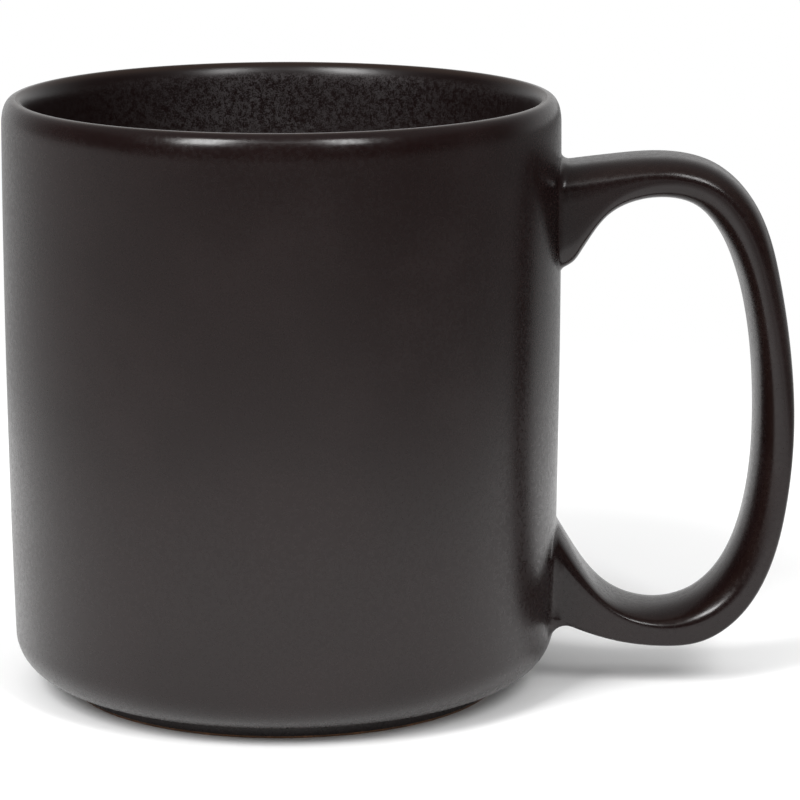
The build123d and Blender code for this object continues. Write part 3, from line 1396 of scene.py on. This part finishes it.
def table_material(color):
    """A pale table top that keeps the mug's shadow, runs out into plain white and in reflections
    glows with painted light that dims towards the handle.
    """
    material, wiring, place = new_material("table_white")
    parts = wiring.split(place)
    beyond = wiring.ramp(wiring.diagonal(parts["X"], parts["Y"]), SHADOW_RADIUS, WHITE_RADIUS)
    rays = wiring.add("ShaderNodeLightPath").outputs
    seen = wiring.math("MAXIMUM", rays["Is Camera Ray"], rays["Is Glossy Ray"])
    share = wiring.math("MULTIPLY", beyond, seen)
    # Painted light: in reflections the table glows brighter away from the handle and dimmer towards
    # it.
    reflected_glow = wiring.ramp(parts["X"], 0.0, DIM_DISTANCE, TABLE_BRIGHT, TABLE_DIM)
    level = wiring.ramp(rays["Is Glossy Ray"], 0.0, 1.0, 1.0, reflected_glow, smooth=False)
    shader = wiring.add("ShaderNodeBsdfPrincipled")
    shader.inputs["Base Color"].default_value = opaque(color)
    shader.inputs["Roughness"].default_value = 0.9
    shader.inputs["Specular IOR Level"].default_value = 0.2
    white = wiring.add("ShaderNodeEmission", {"Strength": level})
    mixed = wiring.add(
        "ShaderNodeMixShader",
        {0: share, 1: shader.outputs["BSDF"], 2: white.outputs["Emission"]},
    )
    wiring.add("ShaderNodeOutputMaterial", {"Surface": mixed.outputs["Shader"]})
    return material


def add_softbox(name, place, width, height, power):
    """A rectangular soft lamp at a place, turned to the mug."""
    deselect_all()
    bpy.ops.object.light_add(type="AREA", location=place)
    lamp = bpy.context.object
    lamp.name = name
    lamp.data.name = name
    lamp.data.shape = "RECTANGLE"
    lamp.data.size = width
    lamp.data.size_y = height
    lamp.data.energy = power
    aim = Vector(LAMP_TARGET) - Vector(place)
    lamp.rotation_euler = aim.to_track_quat("-Z", "Y").to_euler()
    return lamp


def add_dark_card():
    """A standing black card that shows only in reflections and casts no shadow."""
    deselect_all()
    upright = (math.pi / 2, 0.0, 0.0)
    bpy.ops.mesh.primitive_plane_add(size=1.0, location=CARD_PLACE, rotation=upright)
    card = name_piece(bpy.context.object, "dark_card")
    bpy.ops.transform.resize(value=(CARD_WIDTH, 1.0, CARD_HEIGHT))
    bpy.ops.object.transform_apply(location=False, rotation=True, scale=True)
    card.visible_camera = False
    card.visible_diffuse = False
    card.visible_shadow = False
    material, wiring, _ = new_material("card_black")
    shader = wiring.add("ShaderNodeBsdfPrincipled", {"Roughness": 1.0})
    shader.inputs["Base Color"].default_value = (0.004, 0.004, 0.004, 1.0)
    shader.inputs["Specular IOR Level"].default_value = 0.0
    wiring.add("ShaderNodeOutputMaterial", {"Surface": shader.outputs["BSDF"]})
    card.data.materials.append(material)
    return card


def white_surroundings(ambient, horizon, ceiling, front_wall):
    """A world that is white to the camera, softer on matte surfaces and a dim room in reflections."""
    world = bpy.data.worlds.new("white_surroundings")
    bpy.context.scene.world = world
    world.use_nodes = True
    tree = world.node_tree
    tree.nodes.clear()
    wiring = Wiring(tree)
    rays = wiring.add("ShaderNodeLightPath").outputs
    parts = wiring.split(wiring.add("ShaderNodeTexCoord").outputs["Generated"])
    front = wiring.ramp(parts["Z"], *FRONT_TO_CEILING, front_wall, ceiling)
    backdrop = wiring.ramp(parts["Z"], *BACKDROP_TO_CEILING, horizon, ceiling)
    walls = wiring.ramp(parts["Y"], *FRONT_TO_BACKDROP, front, backdrop)
    level = wiring.ramp(rays["Is Glossy Ray"], 0.0, 1.0, ambient, walls, smooth=False)
    seen = wiring.math("MAXIMUM", rays["Is Camera Ray"], rays["Is Transmission Ray"])
    level = wiring.ramp(seen, 0.0, 1.0, level, 1.0, smooth=False)
    background = wiring.add(
        "ShaderNodeBackground", {"Color": (1.0, 1.0, 1.0, 1.0), "Strength": level}
    )
    wiring.add("ShaderNodeOutputWorld", {"Surface": background.outputs["Background"]})


class OBJECT_OT_mug_stage(bpy.types.Operator):
    """Sets the mug on a pale table under soft lamps, with the camera in front"""

    bl_idname = "object.mug_stage"
    bl_label = "Set Stage"

    def execute(self, context):
        look = context.scene.mug_stage_look
        deselect_all()
        bpy.ops.mesh.primitive_plane_add(size=TABLE_SIZE, location=(0, 0, 0))
        table = name_piece(context.object, "table")
        table.data.materials.append(table_material(look.floor_color))
        lamps = [add_softbox(*softbox) for softbox in SOFTBOXES]
        card = add_dark_card()
        white_surroundings(look.ambient, look.horizon, look.ceiling, look.front_wall)
        turn = (math.pi / 2 - look.camera_tilt, 0.0, 0.0)
        bpy.ops.object.camera_add(location=look.camera_place, rotation=turn)
        camera = context.object
        camera.name = "camera"
        camera.data.lens = look.camera_lens
        camera.data.sensor_width = SENSOR_WIDTH
        camera.data.clip_start = 0.01
        camera.data.clip_end = 20.0
        context.scene.camera = camera
        context.scene.view_settings.view_transform = "Standard"
        return {"FINISHED"}


# ---------------------------------------------------------------------------
# Panel and registration
# ---------------------------------------------------------------------------


class VIEW3D_PT_mug(bpy.types.Panel):
    """Lists the mug's sizes, looks and building steps"""

    bl_idname = "VIEW3D_PT_mug"
    bl_label = "Stoneware Mug"
    bl_space_type = "VIEW_3D"
    bl_region_type = "UI"
    bl_category = "Mug"

    def draw(self, context):
        scene = context.scene
        for title, group in (
            ("Cup", scene.mug_cup_sizes),
            ("Handle", scene.mug_handle_sizes),
            ("Glaze", scene.mug_glaze_look),
            ("Stage", scene.mug_stage_look),
        ):
            box = self.layout.box()
            box.label(text=title)
            for name in group.bl_rna.properties.keys():
                if name not in ("rna_type", "name"):
                    box.prop(group, name)
        for step in STEPS:
            self.layout.operator(step.bl_idname)


STEPS = (
    OBJECT_OT_mug_cup,
    OBJECT_OT_mug_handle,
    OBJECT_OT_mug_slip_joints,
    OBJECT_OT_mug_stage,
)
CLASSES = (MugCupSizes, MugHandleSizes, MugGlazeLook, MugStageLook, *STEPS, VIEW3D_PT_mug)


def register():
    for cls in CLASSES:
        bpy.utils.register_class(cls)
    bpy.types.Scene.mug_cup_sizes = bpy.props.PointerProperty(type=MugCupSizes)
    bpy.types.Scene.mug_handle_sizes = bpy.props.PointerProperty(type=MugHandleSizes)
    bpy.types.Scene.mug_glaze_look = bpy.props.PointerProperty(type=MugGlazeLook)
    bpy.types.Scene.mug_stage_look = bpy.props.PointerProperty(type=MugStageLook)


def unregister():
    del bpy.types.Scene.mug_stage_look
    del bpy.types.Scene.mug_glaze_look
    del bpy.types.Scene.mug_handle_sizes
    del bpy.types.Scene.mug_cup_sizes
    for cls in reversed(CLASSES):
        bpy.utils.unregister_class(cls)


def main():
    """Builds every piece in turn."""
    register()
    bpy.ops.object.mug_cup()
    bpy.ops.object.mug_handle()
    bpy.ops.object.mug_slip_joints()
    bpy.ops.object.mug_stage()


if __name__ == "__main__":
    main()
